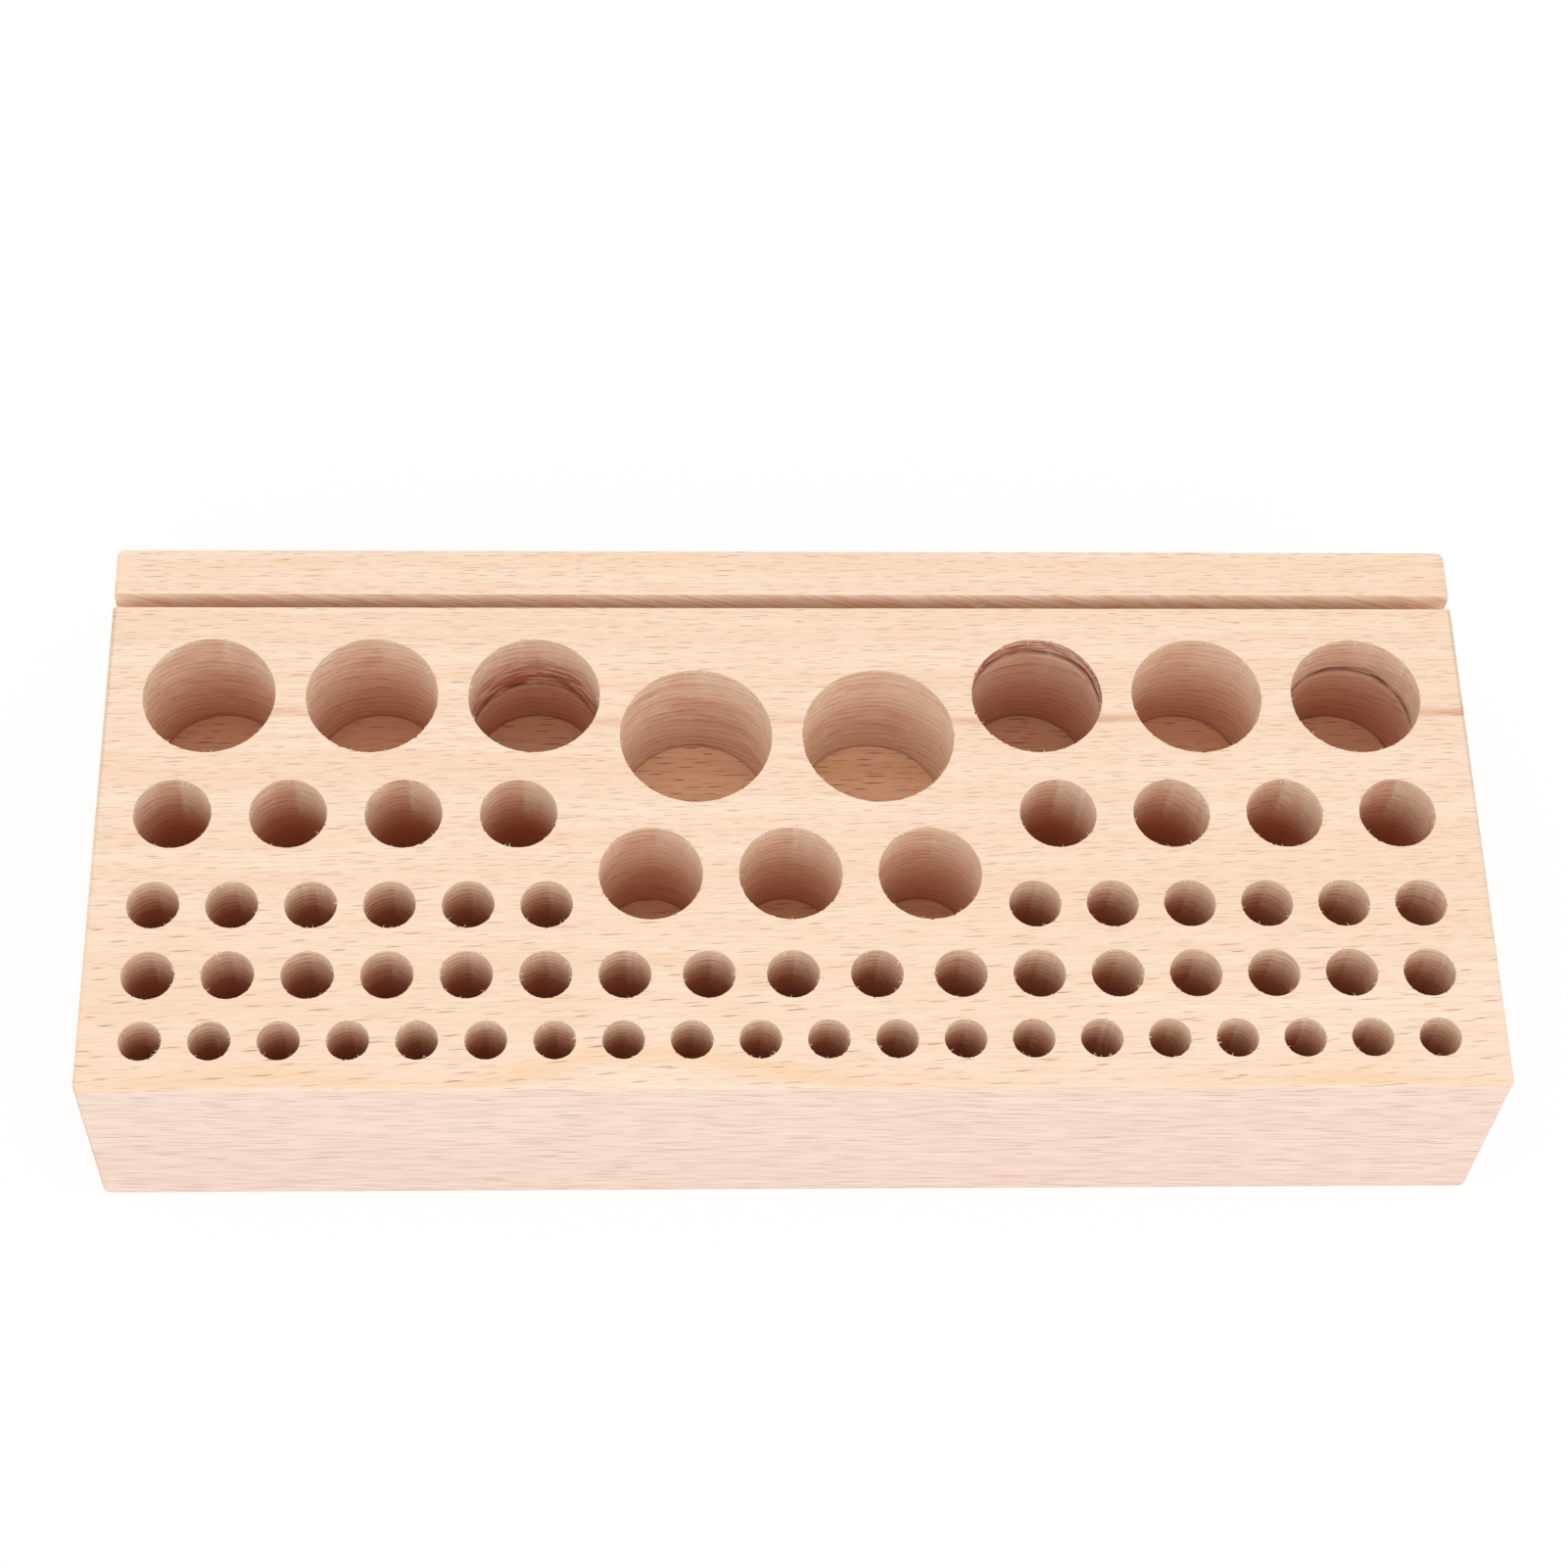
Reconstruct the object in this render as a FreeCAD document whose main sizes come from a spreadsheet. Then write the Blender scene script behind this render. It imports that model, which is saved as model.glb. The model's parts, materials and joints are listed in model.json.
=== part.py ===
import FreeCAD, Part
import math
import os

import Sketcher
from FreeCAD import Vector

# A beech tool block that stands on a bench: one plank with rows of blind holes for upright
# tools, and a saw kerf along its back for flat ones. The plank is drawn as one body and then
# divided between its holes, into sections of cells that meet face to face. Sizes are in
# millimetres.
# The origin is the middle of the underside, +X runs along the block and +Y to its back.

# Driving sizes
SIZES = {
    # the plank
    "block_length": 270.0,
    "block_width": 120.0,
    "hole_depth": 30.0,
    "floor_thickness": 18.0,
    "corner_round": 1.5,
    "edge_round": 0.8,
    # the kerf and the strip that it leaves at the back
    "back_strip": 10.8,
    "kerf_width": 3.2,
    "kerf_depth": 20.0,
    # bores, named after the tools that they suit
    "bottle_bore": 30.0,
    "plier_bore": 26.0,
    "marker_bore": 20.0,
    "knife_bore": 15.0,
    "pencil_bore": 10.0,
    "file_bore": 8.0,
    # wood left at the two ends of the file row, and between the plier row and the kerf
    "end_wall": 8.45,
    "kerf_wall": 7.5,
    # distance of each row of holes from the front face
    "plier_row": 85.5,
    "bottle_row": 76.3,
    "knife_row": 58.7,
    "marker_row": 45.5,
    "back_pencil_row": 38.8,
    "front_pencil_row": 23.8,
    "file_row": 10.1,
    # pitch of the holes within a group
    "plier_pitch": 32.0,
    "bottle_pitch": 36.0,
    "knife_pitch": 22.3,
    "marker_pitch": 27.0,
    "pencil_pitch": 15.0,
    "middle_pencil_pitch": 16.0,
    "file_pitch": 12.9,
    # distance from the middle of the pattern to the middle of a side group
    "plier_group": 82.0,
    "knife_group": 86.1,
    "back_pencil_group": 84.5,
    "front_pencil_group": 77.0,
    # the drilled pattern lies this far along X from the middle of the block
    "pattern_shift": -0.6,
}

# Number of holes in each group
PLIER_COUNT = 3
BOTTLE_COUNT = 2
KNIFE_COUNT = 4
MARKER_COUNT = 3
BACK_PENCIL_COUNT = 6
FRONT_PENCIL_COUNT = 7
MIDDLE_PENCIL_COUNT = 3
FILE_COUNT = 20

# Each row of holes: its bore, and its groups from left to right.
# A group is its number of holes, their pitch, and where its middle lies in the pattern.
ROWS = {
    "plier": ("plier_bore", [(PLIER_COUNT, "plier_pitch", "-Sizes.plier_group"),
                             (PLIER_COUNT, "plier_pitch", "Sizes.plier_group")]),
    "bottle": ("bottle_bore", [(BOTTLE_COUNT, "bottle_pitch", "0")]),
    "knife": ("knife_bore", [(KNIFE_COUNT, "knife_pitch", "-Sizes.knife_group"),
                             (KNIFE_COUNT, "knife_pitch", "Sizes.knife_group")]),
    "marker": ("marker_bore", [(MARKER_COUNT, "marker_pitch", "0")]),
    "back_pencil": ("pencil_bore", [(BACK_PENCIL_COUNT, "pencil_pitch", "-Sizes.back_pencil_group"),
                                    (BACK_PENCIL_COUNT, "pencil_pitch", "Sizes.back_pencil_group")]),
    "front_pencil": ("pencil_bore", [(FRONT_PENCIL_COUNT, "pencil_pitch", "-Sizes.front_pencil_group"),
                                     (MIDDLE_PENCIL_COUNT, "middle_pencil_pitch", "0"),
                                     (FRONT_PENCIL_COUNT, "pencil_pitch", "Sizes.front_pencil_group")]),
    "file": ("file_bore", [(FILE_COUNT, "file_pitch", "0")]),
}

BLOCK_HEIGHT = "(Sizes.hole_depth + Sizes.floor_thickness)"

# The layout of the holes has a length and a width of its own, and is spread to fill the block
LAYOUT_LENGTH = f"({FILE_COUNT - 1} * Sizes.file_pitch + Sizes.file_bore + 2 * Sizes.end_wall)"
LAYOUT_WIDTH = ("(Sizes.plier_row + Sizes.plier_bore / 2 + Sizes.kerf_wall"
                " + Sizes.kerf_width + Sizes.back_strip)")
ALONG = f"Sizes.block_length / {LAYOUT_LENGTH}"
ACROSS = f"Sizes.block_width / {LAYOUT_WIDTH}"
PATTERN_MIDDLE = f"(Sizes.block_length / 2 + Sizes.pattern_shift * {ALONG})"
VOLUME_TOLERANCE = 1e-6

doc = FreeCAD.newDocument("tool_block")
sheet = doc.addObject("Spreadsheet::Sheet", "Sizes")
for line, (alias, size) in enumerate(SIZES.items(), start=1):
    sheet.set(f"A{line}", alias)
    sheet.set(f"B{line}", str(size))
    sheet.setAlias(f"B{line}", alias)
doc.recompute()


def value(expression):
    """The number that an expression on the sheet's sizes gives."""
    return float(sheet.evalExpression(expression.replace("Sizes.", "")))


def sketch_on(body, name, role):
    """A new sketch on one of the body's own origin planes."""
    sketch = body.newObject("Sketcher::SketchObject", name)
    plane = next(feature for feature in body.Origin.OriginFeatures if feature.Role == role)
    sketch.AttachmentSupport = [(plane, "")]
    sketch.MapMode = "FlatFace"
    return sketch


def bind(sketch, constraint, expression):
    """Adds a dimension to a sketch and ties it to the sheet."""
    index = sketch.addConstraint(constraint)
    sketch.setExpression(f"Constraints[{index}]", expression)


def draw_rectangle(sketch, left, bottom, width, height):
    """Draws a rectangle from four expressions: its lower left corner and its two sides."""
    x, y, w, d = (value(expression) for expression in (left, bottom, width, height))
    corners = [Vector(x, y), Vector(x + w, y), Vector(x + w, y + d), Vector(x, y + d)]
    sides = [sketch.addGeometry(Part.LineSegment(corners[i], corners[(i + 1) % 4]), False)
             for i in range(4)]
    for i, side in enumerate(sides):
        sketch.addConstraint(Sketcher.Constraint("Coincident", side, 2, sides[(i + 1) % 4], 1))
        sketch.addConstraint(Sketcher.Constraint(("Horizontal", "Vertical")[i % 2], side))
    bind(sketch, Sketcher.Constraint("DistanceX", -1, 1, sides[0], 1, x), left)
    bind(sketch, Sketcher.Constraint("DistanceY", -1, 1, sides[0], 1, y), bottom)
    bind(sketch, Sketcher.Constraint("DistanceX", sides[0], 1, sides[0], 2, w), width)
    bind(sketch, Sketcher.Constraint("DistanceY", sides[1], 1, sides[1], 2, d), height)


def check_removed(before, after, expected, name):
    """Makes sure that a cut has taken away as much material as it should."""
    removed = before.Shape.Volume - after.Shape.Volume
    if abs(removed - expected) > VOLUME_TOLERANCE * before.Shape.Volume:
        raise RuntimeError(f"{name} removed {removed:.3f} mm3 and not {expected:.3f} mm3")


def edges_where(shape, test):
    """Names of the edges of a shape whose two ends pass a test on their bounding box."""
    return [f"Edge{i}" for i, edge in enumerate(shape.Edges, start=1) if test(edge.BoundBox)]


def make_plank(body):
    """The plank, with rounded corners and eased edges at its top and bottom."""
    outline = sketch_on(body, "PlankOutline", "XY_Plane")
    draw_rectangle(outline, "-Sizes.block_length / 2", "-Sizes.block_width / 2",
                   "Sizes.block_length", "Sizes.block_width")
    plank = body.newObject("PartDesign::Pad", "Plank")
    plank.Profile = outline
    plank.setExpression("Length", BLOCK_HEIGHT)
    doc.recompute()

    height = value(BLOCK_HEIGHT)
    upright = edges_where(plank.Shape, lambda box: box.ZLength > height / 2)
    corners = body.newObject("PartDesign::Fillet", "RoundedCorners")
    corners.Base = (plank, upright)
    corners.setExpression("Radius", "Sizes.corner_round")
    doc.recompute()

    level = edges_where(corners.Shape, lambda box: box.ZLength < height / 2)
    eased = body.newObject("PartDesign::Fillet", "EasedEdges")
    eased.Base = (corners, level)
    eased.setExpression("Radius", "Sizes.edge_round")
    doc.recompute()
    return eased


def saw_kerf(body, plank):
    """The kerf, which runs out at both ends of the plank."""
    section = sketch_on(body, "KerfSection", "YZ_Plane")
    draw_rectangle(section, "Sizes.block_width / 2 - Sizes.back_strip - Sizes.kerf_width",
                   f"{BLOCK_HEIGHT} - Sizes.kerf_depth", "Sizes.kerf_width", "Sizes.kerf_depth")
    kerf = body.newObject("PartDesign::Pocket", "Kerf")
    kerf.Profile = section
    kerf.Type = "Length"
    kerf.SideType = "Symmetric"
    kerf.setExpression("Length", "Sizes.block_length")
    doc.recompute()
    blank = Part.makeBox(value("Sizes.block_length"), value("Sizes.kerf_width"), value("Sizes.kerf_depth"),
                         Vector(value("-Sizes.block_length / 2"),
                                value("Sizes.block_width / 2 - Sizes.back_strip - Sizes.kerf_width"),
                                value(f"{BLOCK_HEIGHT} - Sizes.kerf_depth")))
    check_removed(plank, kerf, plank.Shape.common(blank).Volume, "the kerf")
    return kerf


def columns(groups):
    """Expressions for the distance of each hole of a row from the left end of the block."""
    return [f"{PATTERN_MIDDLE} + ({middle} + {step - (count - 1) / 2} * Sizes.{pitch}) * {ALONG}"
            for count, pitch, middle in groups
            for step in range(count)]


def drill_row(body, blank, name):
    """One row of flat-bottomed blind holes, set out from the left end and the front face."""
    bore, groups = ROWS[name]
    places = sketch_on(body, f"{name}_places", "XY_Plane")
    places.setExpression("AttachmentOffset.Base.x", "-Sizes.block_length / 2")
    places.setExpression("AttachmentOffset.Base.y", "-Sizes.block_width / 2")
    places.setExpression("AttachmentOffset.Base.z", BLOCK_HEIGHT)
    row = f"Sizes.{name}_row * {ACROSS}"
    diameter = f"Sizes.{bore}"
    for column in columns(groups):
        centre = Vector(value(column), value(row))
        circle = places.addGeometry(Part.Circle(centre, Vector(0, 0, 1), value(diameter) / 2), False)
        bind(places, Sketcher.Constraint("DistanceX", -1, 1, circle, 3, centre.x), column)
        bind(places, Sketcher.Constraint("DistanceY", -1, 1, circle, 3, centre.y), row)
        bind(places, Sketcher.Constraint("Diameter", circle, value(diameter)), diameter)
    doc.recompute()
    holes = body.newObject("PartDesign::Hole", f"{name}_holes")
    holes.Profile = places
    holes.DepthType = "Dimension"
    holes.DrillPoint = "Flat"
    holes.setExpression("Diameter", diameter)
    holes.setExpression("Depth", "Sizes.hole_depth")
    doc.recompute()
    one_hole = math.pi * value(diameter) ** 2 / 4 * value("Sizes.hole_depth")
    check_removed(blank, holes, one_hole * len(columns(groups)), f"the {name} row")
    return holes


def midway(first, second):
    """Expression for the place halfway between two others."""
    return f"(({first}) + ({second})) / 2"


def half_length(count, pitch):
    """Expression for the distance from the middle of a group to its last hole."""
    return f"{(count - 1) / 2} * Sizes.{pitch}"


def between(front_row, back_row):
    """Expression for the plane midway between the holes of two rows, from the front face."""
    front_bore, back_bore = ROWS[front_row][0], ROWS[back_row][0]
    return midway(f"Sizes.{front_row}_row * {ACROSS} + Sizes.{front_bore} / 2",
                  f"Sizes.{back_row}_row * {ACROSS} - Sizes.{back_bore} / 2")


def inside(solid, label, left, right, front, back):
    """The part of a solid inside a box as tall as the block.

    Left and right are expressions from the block's left end, front and back from its front face.
    """
    box = doc.addObject("Part::Box", f"{label}_box")
    box.setExpression("Length", f"({right}) - ({left})")
    box.setExpression("Width", f"({back}) - ({front})")
    box.setExpression("Height", BLOCK_HEIGHT)
    box.setExpression("Placement.Base.x", f"{left} - Sizes.block_length / 2")
    box.setExpression("Placement.Base.y", f"{front} - Sizes.block_width / 2")
    common = doc.addObject("Part::Common", label)
    common.Base = solid
    common.Tool = box
    return common


def make_section(label, left, right, front, back, row=None, groups=slice(None), filler=None):
    """A section of the block, divided midway between the holes of its row into cells of one hole.

    A filler is a second box, with no hole in it, that closes the corner beside the section.
    """
    whole = inside(block, f"{label}_whole", left, right, front, back)
    middles = columns(ROWS[row][1][groups]) if row else []
    planes = [left, *(midway(*pair) for pair in zip(middles, middles[1:])), right]
    cells = [inside(whole, f"{label}_cell", *sides, front, back) for sides in zip(planes, planes[1:])]
    if filler:
        cells.append(inside(block, f"{label}_filler", *filler))
    section = doc.addObject("Part::Compound", label)
    section.Label = label
    section.Links = cells
    section.Placement = FreeCAD.Placement()
    return section


# The whole plank
block = doc.addObject("PartDesign::Body", "ToolBlock")
feature = saw_kerf(block, make_plank(block))
for row_name in ROWS:
    feature = drill_row(block, feature, row_name)
block.Tip = feature
doc.recompute()

# The planes between sections. None of them meets a hole.
LEFT_END = "0"
RIGHT_END = "Sizes.block_length"
FRONT_FACE = "0"
BACK_FACE = "Sizes.block_width"
KERF_BACK = "(Sizes.block_width - Sizes.back_strip)"
KERF_FRONT = f"({KERF_BACK} - Sizes.kerf_width)"
BEHIND_FILES = between("file", "front_pencil")
BEHIND_FRONT_PENCILS = between("front_pencil", "back_pencil")
BEHIND_BACK_PENCILS = between("back_pencil", "knife")
BEHIND_KNIVES = between("knife", "plier")
BEHIND_MARKERS = between("marker", "bottle")
MARKER_REACH = midway(
    f"{half_length(MARKER_COUNT, 'marker_pitch')} * {ALONG} + Sizes.marker_bore / 2",
    f"(Sizes.back_pencil_group - {half_length(BACK_PENCIL_COUNT, 'pencil_pitch')}) * {ALONG}"
    " - Sizes.pencil_bore / 2")
BOTTLE_REACH = midway(
    f"{half_length(BOTTLE_COUNT, 'bottle_pitch')} * {ALONG} + Sizes.bottle_bore / 2",
    f"(Sizes.plier_group - {half_length(PLIER_COUNT, 'plier_pitch')}) * {ALONG} - Sizes.plier_bore / 2")
MARKER_LEFT = f"({PATTERN_MIDDLE} - {MARKER_REACH})"
MARKER_RIGHT = f"({PATTERN_MIDDLE} + {MARKER_REACH})"
BOTTLE_LEFT = f"({PATTERN_MIDDLE} - {BOTTLE_REACH})"
BOTTLE_RIGHT = f"({PATTERN_MIDDLE} + {BOTTLE_REACH})"
LEFT_GROUP = slice(0, 1)
RIGHT_GROUP = slice(1, 2)

sections = [
    make_section("file_section", LEFT_END, RIGHT_END, FRONT_FACE, BEHIND_FILES, "file"),
    make_section("front_pencil_section", LEFT_END, RIGHT_END, BEHIND_FILES, BEHIND_FRONT_PENCILS,
                 "front_pencil"),
    make_section("left_pencil_section", LEFT_END, MARKER_LEFT, BEHIND_FRONT_PENCILS,
                 BEHIND_BACK_PENCILS, "back_pencil", LEFT_GROUP),
    make_section("right_pencil_section", MARKER_RIGHT, RIGHT_END, BEHIND_FRONT_PENCILS,
                 BEHIND_BACK_PENCILS, "back_pencil", RIGHT_GROUP),
    make_section("left_knife_section", LEFT_END, MARKER_LEFT, BEHIND_BACK_PENCILS, BEHIND_KNIVES,
                 "knife", LEFT_GROUP, (MARKER_LEFT, BOTTLE_LEFT, BEHIND_MARKERS, BEHIND_KNIVES)),
    make_section("right_knife_section", MARKER_RIGHT, RIGHT_END, BEHIND_BACK_PENCILS, BEHIND_KNIVES,
                 "knife", RIGHT_GROUP, (BOTTLE_RIGHT, MARKER_RIGHT, BEHIND_MARKERS, BEHIND_KNIVES)),
    make_section("left_plier_section", LEFT_END, BOTTLE_LEFT, BEHIND_KNIVES, KERF_FRONT,
                 "plier", LEFT_GROUP),
    make_section("right_plier_section", BOTTLE_RIGHT, RIGHT_END, BEHIND_KNIVES, KERF_FRONT,
                 "plier", RIGHT_GROUP),
    make_section("marker_section", MARKER_LEFT, MARKER_RIGHT, BEHIND_FRONT_PENCILS, BEHIND_MARKERS,
                 "marker"),
    make_section("bottle_section", BOTTLE_LEFT, BOTTLE_RIGHT, BEHIND_MARKERS, KERF_FRONT, "bottle"),
    make_section("kerf_floor", LEFT_END, RIGHT_END, KERF_FRONT, KERF_BACK),
    make_section("back_strip", LEFT_END, RIGHT_END, KERF_BACK, BACK_FACE),
]
doc.recompute()

# Nothing is written unless every object is sound and the sections make up the whole plank
for item in doc.Objects:
    if "Invalid" in item.State or "Error" in item.State:
        raise RuntimeError(f"{item.Label} is {item.State}")
for section in sections:
    if section.Shape.isNull() or not section.Shape.isValid():
        raise RuntimeError(f"{section.Label} has no valid shape")
    if len(section.Shape.Solids) != len(section.Links):
        raise RuntimeError(f"{section.Label} does not have one solid for each cell")
left_over = block.Shape.Volume - sum(section.Shape.Volume for section in sections)
if abs(left_over) > VOLUME_TOLERANCE * block.Shape.Volume:
    raise RuntimeError(f"the sections leave {left_over:.3f} mm3 of the plank")

os.makedirs("parts", exist_ok=True)
for section in sections:
    section.Shape.exportStep(f"parts/{section.Label}.step")
    print(f"{section.Label}: {len(section.Links)} cells, {section.Shape.Volume / 1000:.1f} cm3")
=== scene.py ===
"""Dresses the beech tool block: its sanded faces, bored holes and sawn kerf, on a white table."""

import json
import logging
import math
import random
from dataclasses import dataclass, field
from enum import IntEnum
from typing import Any

import bmesh
import bpy
from bmesh.types import BMEdge, BMesh, BMFace, BMVert
from mathutils import Matrix, Vector

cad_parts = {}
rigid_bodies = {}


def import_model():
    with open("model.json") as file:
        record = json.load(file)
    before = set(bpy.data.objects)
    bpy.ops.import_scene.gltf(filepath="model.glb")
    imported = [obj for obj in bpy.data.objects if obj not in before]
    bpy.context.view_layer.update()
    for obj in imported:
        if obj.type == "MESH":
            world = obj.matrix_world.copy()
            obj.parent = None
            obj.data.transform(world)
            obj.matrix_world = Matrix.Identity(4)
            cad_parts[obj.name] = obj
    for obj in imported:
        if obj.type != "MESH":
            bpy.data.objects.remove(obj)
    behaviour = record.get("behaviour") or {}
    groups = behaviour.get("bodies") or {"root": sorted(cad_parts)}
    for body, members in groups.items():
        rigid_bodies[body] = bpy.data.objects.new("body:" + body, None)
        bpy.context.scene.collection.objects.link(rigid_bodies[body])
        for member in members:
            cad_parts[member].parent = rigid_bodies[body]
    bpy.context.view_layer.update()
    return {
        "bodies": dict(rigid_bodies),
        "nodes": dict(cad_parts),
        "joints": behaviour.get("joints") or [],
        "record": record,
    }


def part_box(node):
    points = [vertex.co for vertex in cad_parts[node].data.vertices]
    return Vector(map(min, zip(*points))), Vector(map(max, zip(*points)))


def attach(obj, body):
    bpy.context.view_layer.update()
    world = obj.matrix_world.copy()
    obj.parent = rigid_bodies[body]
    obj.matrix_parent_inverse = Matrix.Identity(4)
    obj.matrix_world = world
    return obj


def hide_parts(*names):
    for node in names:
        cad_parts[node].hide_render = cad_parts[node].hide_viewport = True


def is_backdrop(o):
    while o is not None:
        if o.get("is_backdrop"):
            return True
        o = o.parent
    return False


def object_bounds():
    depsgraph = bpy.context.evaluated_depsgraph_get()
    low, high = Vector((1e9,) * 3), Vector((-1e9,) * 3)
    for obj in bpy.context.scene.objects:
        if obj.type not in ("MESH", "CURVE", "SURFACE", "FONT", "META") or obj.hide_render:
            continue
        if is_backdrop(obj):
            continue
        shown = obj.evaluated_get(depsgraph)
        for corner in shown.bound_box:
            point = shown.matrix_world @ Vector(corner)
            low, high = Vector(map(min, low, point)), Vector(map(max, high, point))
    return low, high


MM = 0.001
TOUCH = MM / 100
BODY = "root"
BORE_LAYER = "bore"
IMAGE_SIDE = 1601
WHITE = (1.0, 1.0, 1.0, 1.0)

Colour = tuple[float, float, float, float]
log = logging.getLogger("tool_block")


def srgb(red: int, green: int, blue: int) -> Colour:
    """Turns a screen colour into the linear colour that a shader takes.

    Args:
        red: Red, from 0 to 255.
        green: Green, from 0 to 255.
        blue: Blue, from 0 to 255.

    Returns:
        The linear colour, opaque.
    """
    linear = []
    for channel in (red, green, blue):
        share = channel / 255
        linear.append(share / 12.92 if share <= 0.04045 else ((share + 0.055) / 1.055) ** 2.4)
    return (*linear, 1.0)


class Cut(IntEnum):
    """The ways in which the wood is cut. Each has its own finish, in the slot of that number."""

    FACE = 0
    SIDE = 1
    END = 2
    WALL = 3
    FLOOR = 4
    KERF = 5
    FIBRE = 6


@dataclass(frozen=True)
class Finish:
    """How one cut of the beech looks.

    The pale and the dark colour are those of the growth rings, and mark is that of what is finer:
    flecks, dashes, lines, strokes or pores. Growth, fleck, dash and fibre are strengths. The relief
    is in millimetres.
    """

    cut: Cut
    pale: Colour
    dark: Colour
    mark: Colour
    growth: float
    fleck: float
    dash: float
    fibre: float
    roughness: float
    relief: float


FINISHES = (
    Finish(Cut.FACE, srgb(255, 231, 208), srgb(243, 199, 160), srgb(158, 66, 22),
           growth=0.38, fleck=0.78, dash=0.0, fibre=2.0, roughness=0.62, relief=0.015),
    # The front's pinker, cooler tone is partly its own wood and partly painted light that stands in for
    # cool light on the front
    Finish(Cut.SIDE, srgb(249, 228, 213), srgb(228, 190, 168), srgb(116, 62, 42),
           growth=0.28, fleck=0.0, dash=0.9, fibre=1.8, roughness=0.64, relief=0.015),
    Finish(Cut.END, srgb(240, 205, 172), srgb(222, 178, 142), srgb(160, 108, 76),
           growth=0.90, fleck=0.0, dash=0.0, fibre=0.3, roughness=0.75, relief=0.04),
    Finish(Cut.WALL, srgb(255, 234, 208), srgb(238, 202, 168), srgb(160, 90, 54),
           growth=0.45, fleck=0.0, dash=0.0, fibre=0.3, roughness=0.70, relief=0.06),
    Finish(Cut.FLOOR, srgb(255, 221, 186), srgb(236, 186, 142), srgb(92, 40, 20),
           growth=0.60, fleck=0.90, dash=0.0, fibre=1.6, roughness=0.70, relief=0.03),
    Finish(Cut.KERF, srgb(255, 240, 220), srgb(252, 214, 178), srgb(222, 148, 102),
           growth=0.30, fleck=0.0, dash=0.0, fibre=0.3, roughness=0.78, relief=0.04),
    Finish(Cut.FIBRE, srgb(255, 240, 224), srgb(250, 226, 202), srgb(226, 190, 160),
           growth=0.50, fleck=0.0, dash=0.0, fibre=0.5, roughness=0.70, relief=0.01),
)
# Painted shade in the holes, which also tints blotches and walls that lie along the grain
SHADE_AND_TONE = srgb(190, 104, 60)
SHADE_AND_TONE_NARROW = srgb(174, 92, 54)
# The colour of torn fibres, and of the painted light near the rims of narrow holes
TORN_AND_RIM_LIGHT = srgb(240, 216, 193)
BLUSH = srgb(251, 211, 186)
RED_YEAR = srgb(214, 138, 98)
YELLOW_YEAR = srgb(250, 206, 150)
FLOOR_CORNER_SHADE = srgb(110, 62, 40)
SCORCHED_ABOVE = srgb(158, 58, 32)
SCORCHED_BELOW = srgb(176, 92, 58)
SCORCHED_EDGE = srgb(232, 184, 150)
SCORCHED_RING = srgb(120, 44, 24)


@dataclass(frozen=True)
class Fleck:
    """One kind of mark along the grain: its room and half its size, along and across, in millimetres."""

    room: tuple[float, float]
    half: tuple[float, float]
    layer: float


LONG_FLECK = Fleck((9.0, 2.3), (3.6, 0.20), 0.0)
FLOOR_FLECK = Fleck((6.0, 1.5), (3.6, 0.20), 0.0)
SHORT_FLECK = Fleck((6.4, 1.2), (3.1, 0.13), 11.0)
FINE_FLECK = Fleck((4.6, 0.8), (2.2, 0.09), 23.0)
SIDE_DASH = Fleck((13.0, 0.62), (6.2, 0.12), 5.0)


class Signal:
    """A shader socket that takes part in Python expressions on values."""

    def __init__(self, graph: "Graph", socket: bpy.types.NodeSocket) -> None:
        """Wraps an output socket of a node of the graph."""
        self.graph = graph
        self.socket = socket

    def __add__(self, other: "Value") -> "Signal":
        """Adds a value."""
        return self.graph.math("ADD", self, other)

    def __radd__(self, other: "Value") -> "Signal":
        """Adds to a value."""
        return self.graph.math("ADD", other, self)

    def __sub__(self, other: "Value") -> "Signal":
        """Takes a value away."""
        return self.graph.math("SUBTRACT", self, other)

    def __rsub__(self, other: "Value") -> "Signal":
        """Is taken away from a value."""
        return self.graph.math("SUBTRACT", other, self)

    def __mul__(self, other: "Value") -> "Signal":
        """Multiplies by a value."""
        return self.graph.math("MULTIPLY", self, other)

    def __rmul__(self, other: "Value") -> "Signal":
        """Multiplies a value."""
        return self.graph.math("MULTIPLY", other, self)

    def __truediv__(self, other: "Value") -> "Signal":
        """Divides by a value."""
        return self.graph.math("DIVIDE", self, other)

    def __rtruediv__(self, other: "Value") -> "Signal":
        """Divides a value."""
        return self.graph.math("DIVIDE", other, self)

    def __pow__(self, power: "Value") -> "Signal":
        """Raises to a power."""
        return self.graph.math("POWER", self, power)

    def __rpow__(self, base: "Value") -> "Signal":
        """Is the power of a value."""
        return self.graph.math("POWER", base, self)

    def __abs__(self) -> "Signal":
        """Drops the sign."""
        return self.graph.math("ABSOLUTE", self, 0.0)

    def rise(self, low: "Value", high: "Value") -> "Signal":
        """Goes smoothly from 0 to 1.

        Args:
            low: The value at which the rise starts.
            high: The value at which it ends.

        Returns:
            The share, from 0 to 1.
        """
        limits = {"Value": self, "From Min": low, "From Max": high}
        return self.graph.node("ShaderNodeMapRange", {"interpolation_type": "SMOOTHSTEP"}, limits)

    def fall(self, low: "Value", high: "Value") -> "Signal":
        """Goes smoothly from 1 to 0 between two values."""
        return 1.0 - self.rise(low, high)

    def peak(self, middle: "Value", width: float) -> "Signal":
        """Is 1 at a value and falls to 0 at a distance from it."""
        return abs(self - middle).fall(0.0, width)


Value = Signal | float


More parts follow.
